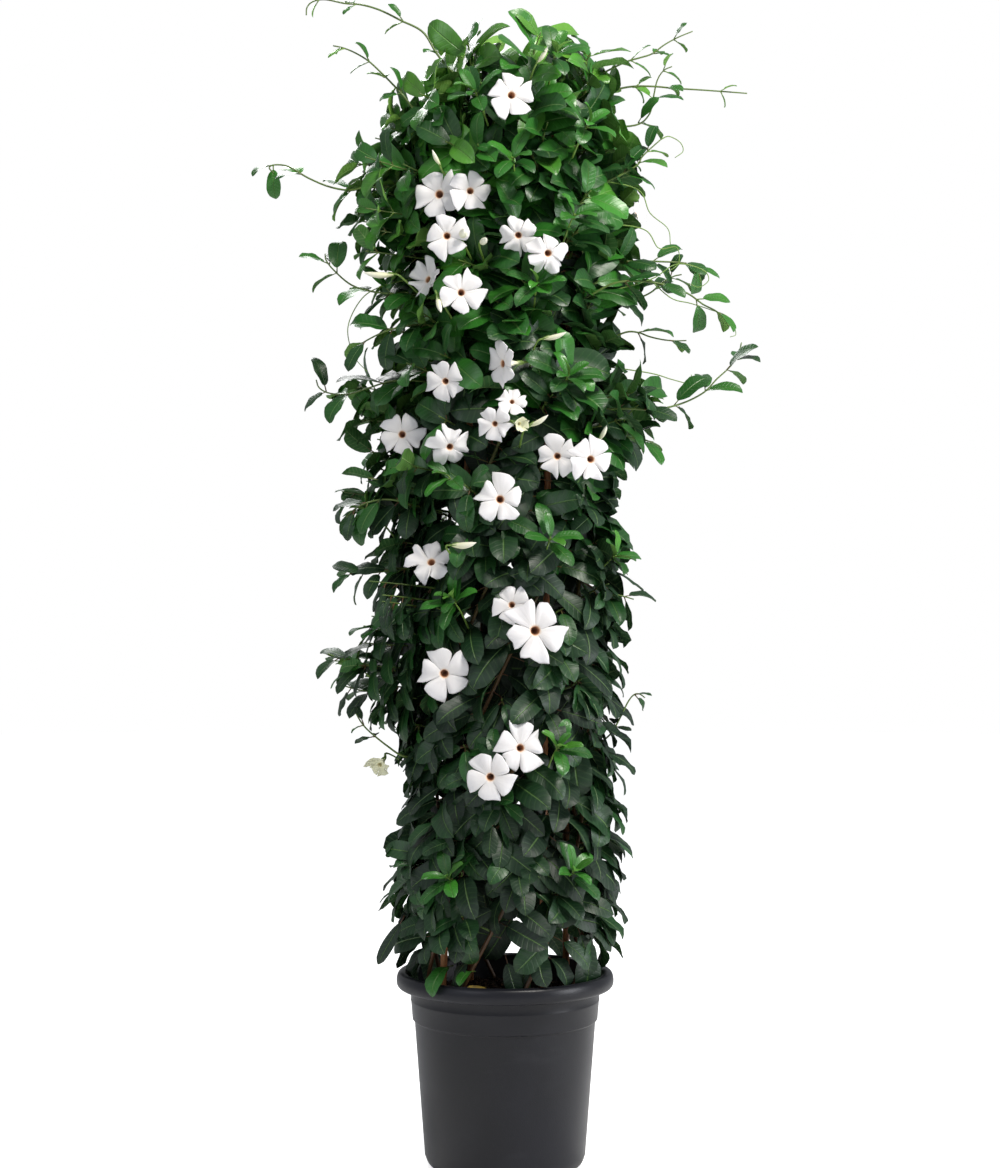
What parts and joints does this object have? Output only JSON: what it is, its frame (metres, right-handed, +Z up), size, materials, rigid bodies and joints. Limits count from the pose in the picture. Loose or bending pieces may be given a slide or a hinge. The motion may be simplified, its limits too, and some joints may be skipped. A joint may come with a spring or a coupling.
{
  "type": "potted mandevilla",
  "caption": "Climbing plant with glossy leaves and white blooms, wound up bamboo canes in a round dark nursery pot.",
  "frame": {"origin": "the middle of the pot's flat underside, on the surface that it stands on", "axes": "+Z up the plant, -Y towards the usual front, +X to the right as seen from the front"},
  "size_m": [0.6896, 0.4213, 1.6021],
  "materials": {
    "pot_plastic": "moulded, slightly satin charcoal",
    "peat": "loose, matt and fibrous",
    "bamboo": "smooth, waxy brown cane",
    "petal": "soft, velvety white",
    "foliage": "waxy, glossy dark green"
  },
  "bodies": {
    "root": {"pot": "pot_plastic", "soil": "peat", "cane_1": "bamboo", "cane_2": "bamboo", "cane_3": "bamboo", "cane_4": "bamboo", "bloom_01": "petal", "bloom_02": "petal", "bloom_03": "petal", "bloom_04": "petal", "bloom_05": "petal", "bloom_06": "petal", "bloom_07": "petal", "bloom_08": "petal", "bloom_09": "petal", "bloom_10": "petal", "bloom_11": "petal", "bloom_12": "petal", "bloom_13": "petal", "bloom_14": "petal", "bloom_15": "petal", "bloom_16": "petal", "bloom_17": "petal", "bloom_18": "petal", "bloom_19": "petal", "bloom_20": "petal", "bloom_21": "petal", "bloom_22": "petal", "bloom_23": "petal", "bloom_24": "petal", "bloom_25": "petal", "bloom_26": "petal", "bloom_27": "petal", "bloom_28": "petal", "bloom_29": "petal", "bloom_30": "petal", "bloom_31": "petal", "bloom_32": "petal", "bloom_33": "petal", "bloom_34": "petal", "bloom_35": "petal", "vine_1": "foliage", "vine_2": "foliage", "vine_3": "foliage", "vine_4": "foliage", "vine_5": "foliage", "vine_6": "foliage", "vine_7": "foliage", "vine_8": "foliage"}
  },
  "joints": []
}
